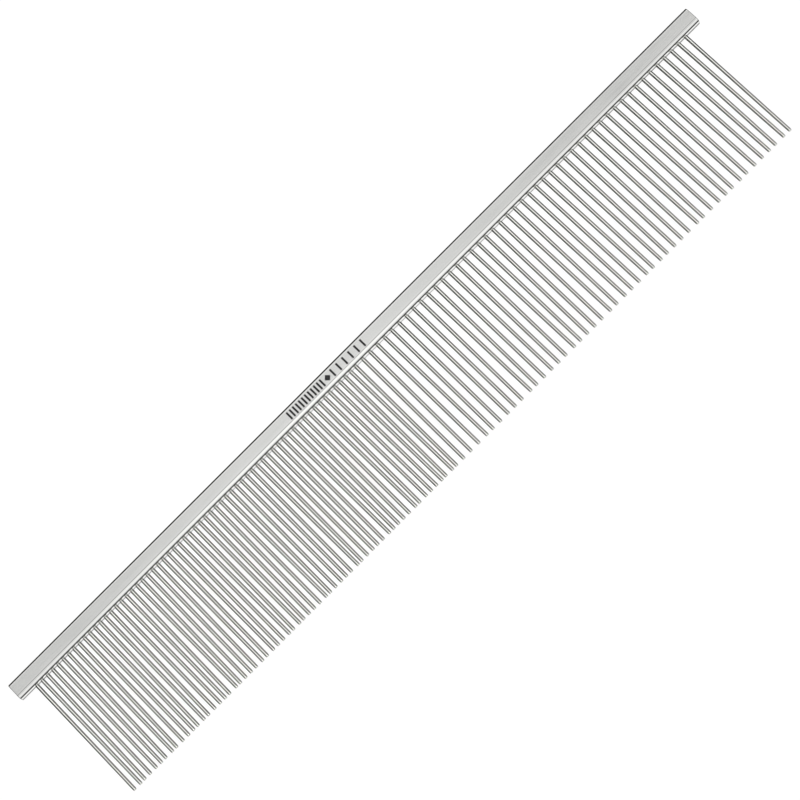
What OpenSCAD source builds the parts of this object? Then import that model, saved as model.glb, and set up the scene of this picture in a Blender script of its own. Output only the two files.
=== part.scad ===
// Steel grooming comb: a solid bar spine with a row of round pins pressed into it.
// One half of the row is finely spaced and the other half is coarsely spaced.
// The comb lies flat. X runs along the spine with the coarse pins at +X, the pins point to
// -Y, and +Z is up. The origin is the middle of the comb's outline, on the surface under it.

/* [Spine] */
// Length of the spine bar, end to end
spine_length = 250; // [248:1:300]
// Height of the bar, measured along the pins
spine_height = 5.2; // [5:0.1:10]
// Thickness of the bar, measured across the row of pins
spine_thickness = 3.5; // [3:0.1:6]
// Radius of the two long edges at the back
spine_back_r = 0.85; // [0.4:0.05:1.4]
// Radius of the two long edges on the side that the pins leave
spine_pin_side_r = 1.3; // [0.4:0.05:1.4]

/* [Pins] */
// Diameter of a pin where it leaves the spine
pin_d = 1.05; // [0.7:0.05:1.1]
// Diameter of a pin's rounded tip
pin_tip_d = 0.96; // [0.5:0.02:1.1]
// Length of a pin outside the spine, tip included
pin_reach = 38; // [20:1:45]
// Depth that a pin is pressed into the spine
pin_set = 3.6; // [2:0.2:4]
// Largest lean of a pin along the row, in degrees, as hand-set pins have
pin_lean = 0.4; // [0:0.1:0.4]

/* [Row] */
// Number of finely spaced pins, at the -X end
fine_count = 62; // [40:2:62]
// Spacing of the fine pins
fine_pitch = 1.91; // [1.8:0.01:1.94]
// Number of coarsely spaced pins, at the +X end
coarse_count = 46; // [30:2:46]
// Spacing of the coarse pins, and of the last fine pin to the first coarse one
coarse_pitch = 2.67; // [2:0.01:2.67]

/* [Hidden] */
PINS_A_NODE = 2; // a node holds two pins as separate solids
CURVE_FN = 48;
LEAN_STEP = 97; // degrees, scatters the leans from pin to pin
LEAN_SWEEP = 31; // degrees, keeps the scatter from repeating
CLEAR = 0.01; // how far a hole's cutter runs past the face it opens

pin_count = fine_count + coarse_count;
row_length = (fine_count - 1) * fine_pitch + coarse_count * coarse_pitch;
back_y = (spine_height + pin_reach) / 2;
spine_y = back_y - spine_height / 2;
underside_y = back_y - spine_height;
pin_z = spine_thickness / 2;
fine_node_count = fine_count / PINS_A_NODE;
coarse_node_count = coarse_count / PINS_A_NODE;

// A pair's number, always with two digits
function two_digits(k) = k < 10 ? str("0", k) : str(k);
function fine_name(k) = str("fine_pin_pair_", two_digits(k));
function coarse_name(k) = str("coarse_pin_pair_", two_digits(k));

// Place of pin i along the spine. Pins count from 0 at the -X end, fine ones first.
function fine_pin_x(i) = -row_length / 2 + i * fine_pitch;
function pin_x(i) = i < fine_count
    ? fine_pin_x(i)
    : fine_pin_x(fine_count - 1) + (i - fine_count + 1) * coarse_pitch;

// Small lean of pin i, different for each but always the same
function lean(i) = pin_lean * sin(LEAN_STEP * i + LEAN_SWEEP * i * i);

// Puts a shape drawn along +Z onto pin i's axis, with its zero at the spine's underside
module on_pin_axis(i) {
    translate([pin_x(i), underside_y, pin_z])
        rotate([0, 0, lean(i)])
            rotate([90, 0, 0])
                children();
}

// Half of the bar's cross-section, from its middle out to a face with two rounded edges
module section_half(edge_r) {
    half_height = spine_height / 2;
    half_thickness = spine_thickness / 2;
    translate([0, -half_thickness])
        square([half_height - edge_r, spine_thickness]);
    translate([0, edge_r - half_thickness])
        square([half_height, spine_thickness - 2 * edge_r]);
    for (side = [-1, 1])
        translate([half_height - edge_r, side * (half_thickness - edge_r)])
            circle(r = edge_r, $fn = CURVE_FN);
}

// The bar's whole cross-section, with its back to the right
module bar_section() {
    section_half(spine_back_r);
    mirror([1, 0]) section_half(spine_pin_side_r);
}

// The holes that the pins are pressed into, blind and of the pins' own diameter
module pin_holes() {
    for (i = [0:pin_count - 1])
        on_pin_axis(i)
            translate([0, 0, -pin_set])
                cylinder(d = pin_d, h = pin_set + CLEAR, $fn = CURVE_FN);
}

// The bar, cut off square at both ends and drilled for the pins
module spine() {
    color("silver")
        difference() {
            translate([0, spine_y, pin_z])
                rotate([90, 0, 90])
                    linear_extrude(height = spine_length, center = true)
                        bar_section();
            pin_holes();
        }
}

// One pin: pressed-in shank, slightly tapered length and ball tip
module pin() {
    tip_r = pin_tip_d / 2;
    translate([0, 0, -pin_set])
        cylinder(d = pin_d, h = pin_set, $fn = CURVE_FN);
    cylinder(d1 = pin_d, d2 = pin_tip_d, h = pin_reach - tip_r, $fn = CURVE_FN);
    translate([0, 0, pin_reach - tip_r])
        sphere(r = tip_r, $fn = CURVE_FN);
}

// A node's pins, each a separate solid
module pin_group(first) {
    color("gainsboro")
        for (i = [first:first + PINS_A_NODE - 1])
            on_pin_axis(i) pin();
}

spine();
for (k = [1:fine_node_count])
    pin_group((k - 1) * PINS_A_NODE);
for (k = [1:coarse_node_count])
    pin_group(fine_count + (k - 1) * PINS_A_NODE);
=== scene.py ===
import math

import bpy
import numpy as np
from mathutils import Matrix, Vector


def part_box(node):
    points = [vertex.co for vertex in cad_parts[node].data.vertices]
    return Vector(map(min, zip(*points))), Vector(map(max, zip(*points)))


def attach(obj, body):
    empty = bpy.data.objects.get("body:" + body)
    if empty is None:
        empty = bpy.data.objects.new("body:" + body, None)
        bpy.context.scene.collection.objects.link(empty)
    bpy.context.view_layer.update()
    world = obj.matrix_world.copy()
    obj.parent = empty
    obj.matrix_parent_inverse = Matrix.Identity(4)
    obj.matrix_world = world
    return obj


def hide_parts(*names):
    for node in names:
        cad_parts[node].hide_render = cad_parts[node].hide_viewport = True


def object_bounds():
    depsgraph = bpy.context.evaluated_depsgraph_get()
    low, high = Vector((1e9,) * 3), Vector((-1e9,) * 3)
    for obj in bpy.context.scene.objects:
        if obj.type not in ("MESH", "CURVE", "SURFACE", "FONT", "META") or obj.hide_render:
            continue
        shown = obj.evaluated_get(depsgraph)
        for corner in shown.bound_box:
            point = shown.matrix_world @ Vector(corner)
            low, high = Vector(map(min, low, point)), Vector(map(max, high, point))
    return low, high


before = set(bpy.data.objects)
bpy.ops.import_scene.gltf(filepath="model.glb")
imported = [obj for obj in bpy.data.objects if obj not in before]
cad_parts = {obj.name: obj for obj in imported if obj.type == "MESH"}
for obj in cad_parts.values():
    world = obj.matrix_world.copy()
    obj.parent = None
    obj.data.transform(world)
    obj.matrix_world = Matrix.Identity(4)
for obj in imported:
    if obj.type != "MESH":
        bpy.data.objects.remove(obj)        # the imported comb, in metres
cadLow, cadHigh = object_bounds()
mm = 0.001
spineLow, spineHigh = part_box("spine")
print("frame loaded:", len(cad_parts), "nodes")


class Wire:
    # a shader socket that can be added, multiplied and so on
    def __init__(self, bench, socket):
        self.bench = bench
        self.socket = socket

    def math(self, operation, *others):
        return self.bench.math(operation, self, *others)

    def __add__(self, other):
        return self.math("ADD", other)

    def __sub__(self, other):
        return self.math("SUBTRACT", other)

    def __rsub__(self, other):
        return self.bench.math("SUBTRACT", other, self)

    def __mul__(self, other):
        return self.math("MULTIPLY", other)

    def __abs__(self):
        return self.math("ABSOLUTE")

    __radd__ = __add__
    __rmul__ = __mul__


class Bench:
    # one node tree, emptied, on which nodes are set out
    def __init__(self, owner):
        owner.use_nodes = True
        self.tree = owner.node_tree
        self.tree.nodes.clear()

    def node(self, kind, settings=None, sockets=None, out=0):
        made = self.tree.nodes.new(kind)
        for name, value in (settings or {}).items():
            if name == "stops":
                self.setStops(made.color_ramp, value)
            else:
                setattr(made, name, value)
        for name, value in (sockets or {}).items():
            if isinstance(value, Wire):
                self.tree.links.new(value.socket, made.inputs[name])
            else:
                made.inputs[name].default_value = value
        return Wire(self, made.outputs[out]) if made.outputs else made

    def setStops(self, ramp, stops):
        # stops are (place, grey) pairs from 0 to 1
        while len(ramp.elements) < len(stops):
            ramp.elements.new(0.5)
        for element, (place, grey) in zip(ramp.elements, stops):
            element.position = place
            element.color = (grey, grey, grey, 1)

    def math(self, operation, *values):
        return self.node("ShaderNodeMath", {"operation": operation}, dict(enumerate(values)))

    def coords(self, kind="Object"):
        return self.node("ShaderNodeTexCoord", out=kind)

    def split(self, vector):
        parts = self.node("ShaderNodeSeparateXYZ", sockets={0: vector})
        outputs = parts.socket.node.outputs
        return [Wire(self, outputs[i]) for i in range(3)]

    def stretch(self, vector, scale):
        return self.node("ShaderNodeVectorMath", {"operation": "MULTIPLY"}, {0: vector, 1: scale})

    def noise(self, vector, detail=2, roughness=0.5):
        return self.node("ShaderNodeTexNoise", None,
                         {"Vector": vector, "Scale": 1, "Detail": detail, "Roughness": roughness})

    def smooth(self, value, start, end):
        # 0 before start, 1 after end, eased between; start may be the larger
        return self.node("ShaderNodeMapRange", {"interpolation_type": "SMOOTHSTEP"},
                         {"Value": value, "From Min": start, "From Max": end})

    def ramp(self, value, stops):
        return self.node("ShaderNodeValToRGB", {"stops": stops}, {"Fac": value})

    def tint(self, amount, first, second):
        # first colour where amount is 0, second where it is 1
        return self.node("ShaderNodeMix", {"data_type": "RGBA"}, {0: amount, 6: first, 7: second}, out=2)


def newMaterial(name):
    material = bpy.data.materials.new(name)
    return material, Bench(material)


def makePiece(name, points, faces, material, smooth=True):
    mesh = bpy.data.meshes.new(name)
    mesh.from_pydata(points, [], faces)
    mesh.polygons.foreach_set("use_smooth", np.full(len(mesh.polygons), smooth))
    mesh.materials.append(material)
    mesh.update()
    piece = bpy.data.objects.new(name, mesh)
    bpy.context.scene.collection.objects.link(piece)
    return piece


def ringFaces(rings, around):
    # quads between each ring and the next, the last point of a ring joined to its first
    ring, step = np.meshgrid(np.arange(rings - 1), np.arange(around), indexing="ij")
    after = (step + 1) % around
    quads = np.stack([ring * around + step, ring * around + after,
                      (ring + 1) * around + after, (ring + 1) * around + step], -1)
    return quads.reshape(-1, 4).tolist()


# spine: a rounded bar, ground along its length
spineForm = {
    "backRadius": 0.85 * mm,      # the two long edges at the back
    "pinSideRadius": 1.3 * mm,    # the two long edges beside the pins
    "arcSteps": 14,               # points round each edge, less one
    "paintedEdgeShade": 1.3 * mm,         # how far above the pins' side a painted shade line marks the flat's ground edge
    "endBevel": 0.12 * mm,
    "hold": 0.05 * mm,            # ring close behind the bevel, which keeps the sides' shading flat
    "stations": 26,               # rings along the bar
}


def spineSection(form):
    # the section's outline in the YZ plane: a quarter circle at each corner, centre plus radius times
    # (cos a, sin a), with straight sides between them; also gives each point's outward normal
    corners = [(spineHigh.y, 1, spineHigh.z, 1, form["backRadius"], 0),
               (spineLow.y, -1, spineHigh.z, 1, form["pinSideRadius"], 90),
               (spineLow.y, -1, spineLow.z, -1, form["pinSideRadius"], 180),
               (spineHigh.y, 1, spineLow.z, -1, form["backRadius"], 270)]
    points, normals = [], []
    for faceY, sideY, faceZ, sideZ, radius, start in corners:
        angle = np.radians(start + np.linspace(0, 90, form["arcSteps"] + 1))
        normal = np.stack([np.cos(angle), np.sin(angle)], -1)
        centre = np.array([faceY - sideY * radius, faceZ - sideZ * radius])
        points.append(centre + radius * normal)
        normals.append(normal)
    return np.concatenate(points), np.concatenate(normals)


def buildSpine(form, material):
    # section carried along X; at each end one more ring is drawn in by the bevel, and a flat face closes it
    points, normals = spineSection(form)
    bevel = form["endBevel"]
    hold = bevel + form["hold"]
    x = np.concatenate([[spineLow.x, spineLow.x + bevel],
                        np.linspace(spineLow.x + hold, spineHigh.x - hold, form["stations"]),
                        [spineHigh.x - bevel, spineHigh.x]])
    inset = np.zeros(len(x))
    inset[[0, -1]] = bevel
    yz = points[None] - inset[:, None, None] * normals[None]
    grid = np.concatenate([np.broadcast_to(x[:, None, None], yz.shape[:2] + (1,)), yz], -1)
    around = len(points)
    faces = ringFaces(len(x), around)
    faces.append(list(range(around))[::-1])
    faces.append(list(range((len(x) - 1) * around, len(x) * around)))
    piece = makePiece("spineBar", grid.reshape(-1, 3), faces, material)
    for face in piece.data.polygons[-2:]:
        face.use_smooth = False
    return piece


spineSteel, bench = newMaterial("spineSteel")
place = bench.coords()
acrossY, upZ = bench.split(place)[1:]
# grain: fine noise drawn out along X; smudge: slow cloudy noise from handling
grain = bench.noise(bench.stretch(place, (60, 9000, 9000)), detail=3)
smudge = bench.noise(bench.stretch(place, (70, 240, 240)), detail=4, roughness=0.6)
onFlat = (bench.smooth(acrossY, spineLow.y + 0.9 * mm, spineLow.y + 1.5 * mm)
          * bench.smooth(acrossY, spineHigh.y - 0.45 * mm, spineHigh.y - 0.9 * mm))
brushedTone = bench.tint(grain * 0.5 + smudge * 0.5, (0.66, 0.665, 0.65, 1), (0.76, 0.76, 0.745, 1))
# painted shade: a dark line painted where the ground flat stops short of the rounded tooth side, standing
# in for the dark reflection at that edge
edgeAt = spineLow.y + spineForm["paintedEdgeShade"]
paintedEdgeShade = (bench.smooth(acrossY, edgeAt - 0.16 * mm, edgeAt - 0.04 * mm)
            * bench.smooth(acrossY, edgeAt + 0.16 * mm, edgeAt + 0.04 * mm)
            * bench.smooth(upZ, spineHigh.z - 0.3 * mm, spineHigh.z - 0.05 * mm))
# the brushed tone is darkened along the painted shade line
spineTone = bench.tint(paintedEdgeShade * 0.6, brushedTone, (0.3, 0.3, 0.29, 1))
# roughness: polished edges, satin flat, a little more where it is smudged
spineRough = 0.10 + onFlat * 0.09 + (grain - 0.5) * onFlat * 0.12 + (smudge - 0.5) * 0.07
spineBump = bench.node("ShaderNodeBump", None, {"Strength": 0.05, "Distance": 0.02 * mm, "Height": grain})
spineShader = bench.node("ShaderNodeBsdfPrincipled", None, {
    "Base Color": spineTone, "Metallic": 1.0, "Roughness": spineRough, "Normal": spineBump})
bench.node("ShaderNodeOutputMaterial", None, {"Surface": spineShader})

spineBar = buildSpine(spineForm, spineSteel)
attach(spineBar, "root")
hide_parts("spine")
print("spine built:", len(spineBar.data.polygons), "faces")


# pins: drawn wire, polished, each with a rounded tip
pinForm = {
    "tipShare": 0.914,          # tip diameter over root diameter
    "setIn": 1.2 * mm,         # how much of the pressed-in shank the visible pin keeps
    "around": 20,
    "tipRings": 6,
}
pinNodes = sorted(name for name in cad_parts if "_pin_pair_" in name)


def pinAxes(node):
    # the two pins' axes: points are split at the middle of the node's box; a pin runs from the middle
    # of its pressed-in end face to the point of its tip
    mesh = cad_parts[node].data
    points = np.empty(len(mesh.vertices) * 3)
    mesh.vertices.foreach_get("co", points)
    points = points.reshape(-1, 3)
    low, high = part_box(node)
    axes = []
    for side in (points[:, 0] < (low.x + high.x) / 2, points[:, 0] >= (low.x + high.x) / 2):
        half = points[side]
        endFace = half[half[:, 1] > half[:, 1].max() - 0.05 * mm]
        tip = half[half[:, 1].argmin()]
        seat = (endFace.min(0) + endFace.max(0)) / 2
        axes.append((seat, np.array([tip[0], tip[1], seat[2]])))
    return axes, (high.z - low.z) / 2


def pinPoints(seat, tip, radius, form):
    # rings round the axis: radius falls evenly to the tip's, then as a quarter circle, r cos a,
    # to the point
    tipRadius = radius * form["tipShare"]
    length = np.linalg.norm(tip - seat)
    axis = (tip - seat) / length
    start = seat[1] - spineLow.y - form["setIn"]
    angle = np.radians(np.linspace(0, 90, form["tipRings"] + 1)[:-1])
    straight = np.array([start, start + 0.1 * mm, length * 0.5, length - tipRadius - 0.1 * mm])
    along = np.concatenate([straight, length - tipRadius + tipRadius * np.sin(angle)])
    share = (straight - start) / (length - tipRadius - start)
    ringRadius = np.concatenate([radius + (tipRadius - radius) * share, tipRadius * np.cos(angle)])
    turn = np.linspace(0, 2 * math.pi, form["around"], endpoint=False)
    side = np.cross(axis, (0, 0, 1))
    circle = np.cos(turn)[:, None] * side + np.sin(turn)[:, None] * np.array([0, 0, 1.0])
    rings = seat + along[:, None, None] * axis + ringRadius[:, None, None] * circle[None]
    return rings.reshape(-1, 3), len(along)


def buildPinPair(node, form, material):
    axes, radius = pinAxes(node)
    points, faces = [], []
    around = form["around"]
    for seat, tip in axes:
        first = sum(len(p) for p in points)
        rings, count = pinPoints(seat, tip, radius, form)
        body = (np.array(ringFaces(count, around)) + first).tolist()
        last = first + (count - 1) * around
        apex = first + len(rings)
        fan = [[last + i, last + (i + 1) % around, apex] for i in range(around)]
        faces += body + fan + [[first + i for i in range(around)][::-1]]
        points += [rings, tip[None]]
    name = node.replace("_pin_pair_", "Pins_")
    return makePiece(name, np.concatenate(points), faces, material)


pinSteel, bench = newMaterial("pinSteel")
place = bench.coords()
downY = bench.split(place)[1]
# draw: long marks down the wire; shade: each pin a little different; root: painted shade, a dark band where
# the pin enters the spine
draw = bench.noise(bench.stretch(place, (7000, 90, 7000)), detail=2)
shade = bench.noise(bench.stretch(place, (520, 12, 0)), detail=1)
root = bench.smooth(downY, spineLow.y - 0.3 * mm, spineLow.y + 0.02 * mm)
worn = bench.smooth(downY, cadLow.y + 9 * mm, cadLow.y)
wireTone = bench.tint(shade, (0.92, 0.93, 0.885, 1), (0.965, 0.975, 0.93, 1))
# painted shade: the pin's colour is darkened near the spine, where shade falls at its entry
pinTone = bench.tint(root * 0.75, wireTone, (0.16, 0.155, 0.15, 1))
# roughness: low, with drawing marks, and finer where use has polished the last few millimetres
pinRough = 0.09 + (draw - 0.5) * 0.08 - worn * 0.03 + root * 0.2
pinBump = bench.node("ShaderNodeBump", None, {"Strength": 0.04, "Distance": 0.01 * mm, "Height": draw})
pinShader = bench.node("ShaderNodeBsdfPrincipled", None, {
    "Base Color": pinTone, "Metallic": 1.0, "Roughness": pinRough, "Normal": pinBump})
bench.node("ShaderNodeOutputMaterial", None, {"Surface": pinShader})

for node in pinNodes:
    pins = buildPinPair(node, pinForm, pinSteel)
    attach(pins, "root")
    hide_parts(node)
print("pins built:", len(pinNodes), "pairs")


# gauge mark: black strokes printed on the upper flat, close ones for fine and wide ones for coarse
gaugeForm = {
    "middle": -10.5 * mm,       # along the spine
    "strokeWidth": 0.55 * mm,
    "strokeLength": 2.4 * mm,
    "fineStep": 1.1 * mm,
    "fineCount": 12,
    "coarseStep": 2.2 * mm,
    "coarseCount": 6,
    "gap": 1.9 * mm,            # from the middle to the nearest stroke on either side
    "diamond": 1.0 * mm,        # half width of the diamond between them
    "proud": 0.02 * mm,
}


def slabs(outlines, low, high):
    # each outline of four corners raised from low to high: a lid, a base and four sides
    points, faces = [], []
    side = [(0, 1, 5, 4), (1, 2, 6, 5), (2, 3, 7, 6), (3, 0, 4, 7), (3, 2, 1, 0), (4, 5, 6, 7)]
    for outline in outlines:
        first = len(points)
        points += [(x, y, low) for x, y in outline] + [(x, y, high) for x, y in outline]
        faces += [[first + i for i in face] for face in side]
    return points, faces


def buildGaugeMark(form, material):
    flatLow = spineLow.y + spineForm["pinSideRadius"]
    flatHigh = spineHigh.y - spineForm["backRadius"]
    y = (flatLow + flatHigh) / 2
    fine = [form["middle"] - form["gap"] - i * form["fineStep"] for i in range(form["fineCount"])]
    coarse = [form["middle"] + form["gap"] + i * form["coarseStep"] for i in range(form["coarseCount"])]
    w, h, d = form["strokeWidth"] / 2, form["strokeLength"] / 2, form["diamond"]
    outlines = [[(x - w, y - h), (x + w, y - h), (x + w, y + h), (x - w, y + h)] for x in fine + coarse]
    outlines.append([(form["middle"], y - d), (form["middle"] + d, y), (form["middle"], y + d),
                     (form["middle"] - d, y)])
    points, faces = slabs(outlines, spineHigh.z - form["proud"] / 2, spineHigh.z + form["proud"])
    return makePiece("gaugeMark", points, faces, material, smooth=False)


printInk, bench = newMaterial("printInk")
# ink: near black, its gloss broken by a fine mottle
mottle = bench.noise(bench.stretch(bench.coords(), (2500, 2500, 2500)), detail=3)
inkTone = bench.tint(mottle, (0.004, 0.004, 0.005, 1), (0.012, 0.012, 0.013, 1))
inkShader = bench.node("ShaderNodeBsdfPrincipled", None, {
    "Base Color": inkTone, "Roughness": 0.42 + mottle * 0.2})
bench.node("ShaderNodeOutputMaterial", None, {"Surface": inkShader})

gaugeMark = buildGaugeMark(gaugeForm, printInk)
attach(gaugeMark, "root")
print("gauge mark built")


# studio: a pale floor under the comb and a soft light dome with dark flags at both sides
studio = {
    "floorHalf": 3.0,
    "floorGlow": 0.92,
    "domeLight": 2.0,
}


def buildFloor(half, height, material):
    points = [(-half, -half, height), (half, -half, height), (half, half, height), (-half, half, height)]
    return makePiece("floor", points, [(0, 1, 2, 3)], material, smooth=False)


floorPaint, bench = newMaterial("floorPaint")
floorShader = bench.node("ShaderNodeBsdfPrincipled", None, {
    "Base Color": (0.16, 0.16, 0.16, 1), "Roughness": 0.9, "Specular IOR Level": 0.0,
    "Emission Color": (1, 1, 1, 1), "Emission Strength": studio["floorGlow"]})
bench.node("ShaderNodeOutputMaterial", None, {"Surface": floorShader})
floor = buildFloor(studio["floorHalf"], cadLow.z, floorPaint)
floor.visible_glossy = False

world = bpy.data.worlds.new("studio")
bpy.context.scene.world = world
bench = Bench(world)
toX, toY, toZ = bench.split(bench.coords("Generated"))
openLight = 0.68         # share of the full light where no flag or panel stands
# light by direction: grey where the flat looks, bright on both sides of that, dark at the horizon
byY = bench.ramp((toY + 1) * 0.5, [(0.03, 0.5), (0.13, 0.7), (0.2, 1.0), (0.55, 1.0), (0.61, 0.68),
                                   (0.68, 0.66), (0.73, 1.0), (0.82, 1.0), (0.875, 0.02)])
byX = bench.ramp(abs(toX - 0.035), [(0.0, openLight), (0.05, 0.67), (0.2, 0.35), (0.28, 1.0),
                                    (0.44, 1.0), (0.54, 0.01), (1.0, 0.0)])
# flags: the dark ends of byX stand only in a band of directions, which the pins' sides mirror
flags = bench.smooth(toY, -0.6, -0.35) * bench.smooth(toY, 0.58, 0.44)
sides = byX * flags + (1 - flags) * openLight
above = bench.smooth(toZ, 0.2, 0.38)
below = bench.smooth(toZ, -0.18, -0.38) * bench.smooth(toY, 0.05, -0.55)
behind = bench.smooth(toZ, -0.15, -0.3) * bench.smooth(toY, 0.5, 0.75) * 0.25
dome = (byY * above + below + behind) * sides + 0.01
seen = bench.node("ShaderNodeLightPath", out="Is Camera Ray")
light = bench.node("ShaderNodeBackground", None, {
    "Color": (1, 1, 1, 1), "Strength": dome * studio["domeLight"]})
backdrop = bench.node("ShaderNodeBackground", None, {"Color": (1, 1, 1, 1), "Strength": 1.0})
either = bench.node("ShaderNodeMixShader", None, {0: seen, 1: light, 2: backdrop})
bench.node("ShaderNodeOutputWorld", None, {"Surface": either})
bpy.context.scene.view_settings.view_transform = "Standard"


# camera: above the comb and a little to the pins' side, rolled so that the spine runs corner to corner
view = {
    "lens": 117.0,
    "tilt": 14.55,           # degrees from straight down, towards the pins' side
    "swing": 3.21,           # degrees towards the fine end
    "roll": 45.882,
    "offset": (2.41 * mm, -0.49 * mm, -674.98 * mm),   # comb's origin as the camera sees it
}
turn = (Matrix.Rotation(math.radians(-view["swing"]), 3, "Y")
        @ Matrix.Rotation(math.radians(view["tilt"]), 3, "X")
        @ Matrix.Rotation(math.radians(-view["roll"]), 3, "Z"))
cameraData = bpy.data.cameras.new("camera")
cameraData.lens = view["lens"]
cameraData.sensor_width = 36
cameraData.clip_start = 0.01
camera = bpy.data.objects.new("camera", cameraData)
camera.matrix_world = Matrix.Translation(turn @ -Vector(view["offset"])) @ turn.to_4x4()
bpy.context.scene.collection.objects.link(camera)
bpy.context.scene.camera = camera
print("studio and camera set")
